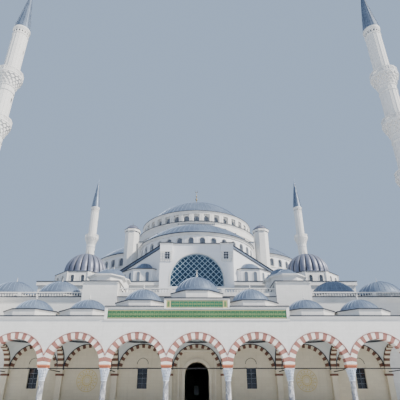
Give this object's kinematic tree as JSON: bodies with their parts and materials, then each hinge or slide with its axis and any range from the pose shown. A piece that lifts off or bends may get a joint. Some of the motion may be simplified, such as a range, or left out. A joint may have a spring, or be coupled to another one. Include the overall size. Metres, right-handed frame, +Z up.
{
  "type": "scale model of a great domed mosque, at 1:10",
  "caption": "Scale model at 1:10 of a great domed mosque: hollow hall under a main dome and semi-domes, corner domes, minarets and a front portico of arches.",
  "frame": {"origin": "middle of the footprint on the ground, under the hall", "axes": "+Z up, -Y towards the portico and its court, +X to the right seen from the court"},
  "size_m": [11.1006, 12.02, 10.71],
  "materials": {
    "pale_stone": "matt cream limestone facing",
    "grey_marble": "polished mottled grey marble",
    "lead_sheet": "weathered blue-grey lead sheet",
    "dark_lead": "dark blue-grey ribbed lead sheet",
    "window_glass": "dark glass seen from outside"
  },
  "bodies": {
    "root": {"ground_floor": "pale_stone", "portico_arcade_left": "pale_stone", "portico_vault_left": "pale_stone", "portico_arcade_middle": "pale_stone", "portico_vault_middle": "pale_stone", "portico_arcade_right": "pale_stone", "portico_vault_right": "pale_stone", "portico_column_1": "grey_marble", "portico_column_2": "grey_marble", "portico_column_3": "grey_marble", "portico_column_4": "grey_marble", "portico_column_5": "grey_marble", "portico_column_6": "grey_marble", "portico_column_7": "grey_marble", "portico_column_8": "grey_marble", "portico_dome_1": "lead_sheet", "portico_dome_2": "lead_sheet", "portico_dome_3": "lead_sheet", "portico_dome_4": "lead_sheet", "portico_dome_5": "lead_sheet", "portico_dome_6": "lead_sheet", "portico_dome_7": "lead_sheet", "hall_front_wall": "pale_stone", "hall_back_wall": "pale_stone", "hall_right_wall": "pale_stone", "hall_left_wall": "pale_stone", "terrace_roof": "pale_stone", "front_buttress_block": "pale_stone", "right_buttress_block": "pale_stone", "back_buttress_block": "pale_stone", "left_buttress_block": "pale_stone", "upper_walls": "pale_stone", "upper_roof": "lead_sheet", "front_right_corner_dome": "dark_lead", "back_right_corner_dome": "dark_lead", "back_left_corner_dome": "dark_lead", "front_left_corner_dome": "dark_lead", "front_gable": "pale_stone", "right_gable": "pale_stone", "back_gable": "pale_stone", "left_gable": "pale_stone", "front_semidome": "lead_sheet", "right_semidome": "lead_sheet", "back_semidome": "lead_sheet", "left_semidome": "lead_sheet", "front_great_window": "window_glass", "right_great_window": "window_glass", "back_great_window": "window_glass", "left_great_window": "window_glass", "crossing": "pale_stone", "main_drum": "pale_stone", "main_dome": "lead_sheet", "front_right_minaret": "pale_stone", "back_right_minaret": "pale_stone", "back_left_minaret": "pale_stone", "front_left_minaret": "pale_stone", "front_right_spire": "lead_sheet", "back_right_spire": "lead_sheet", "back_left_spire": "lead_sheet", "front_left_spire": "lead_sheet"}
  },
  "joints": []
}
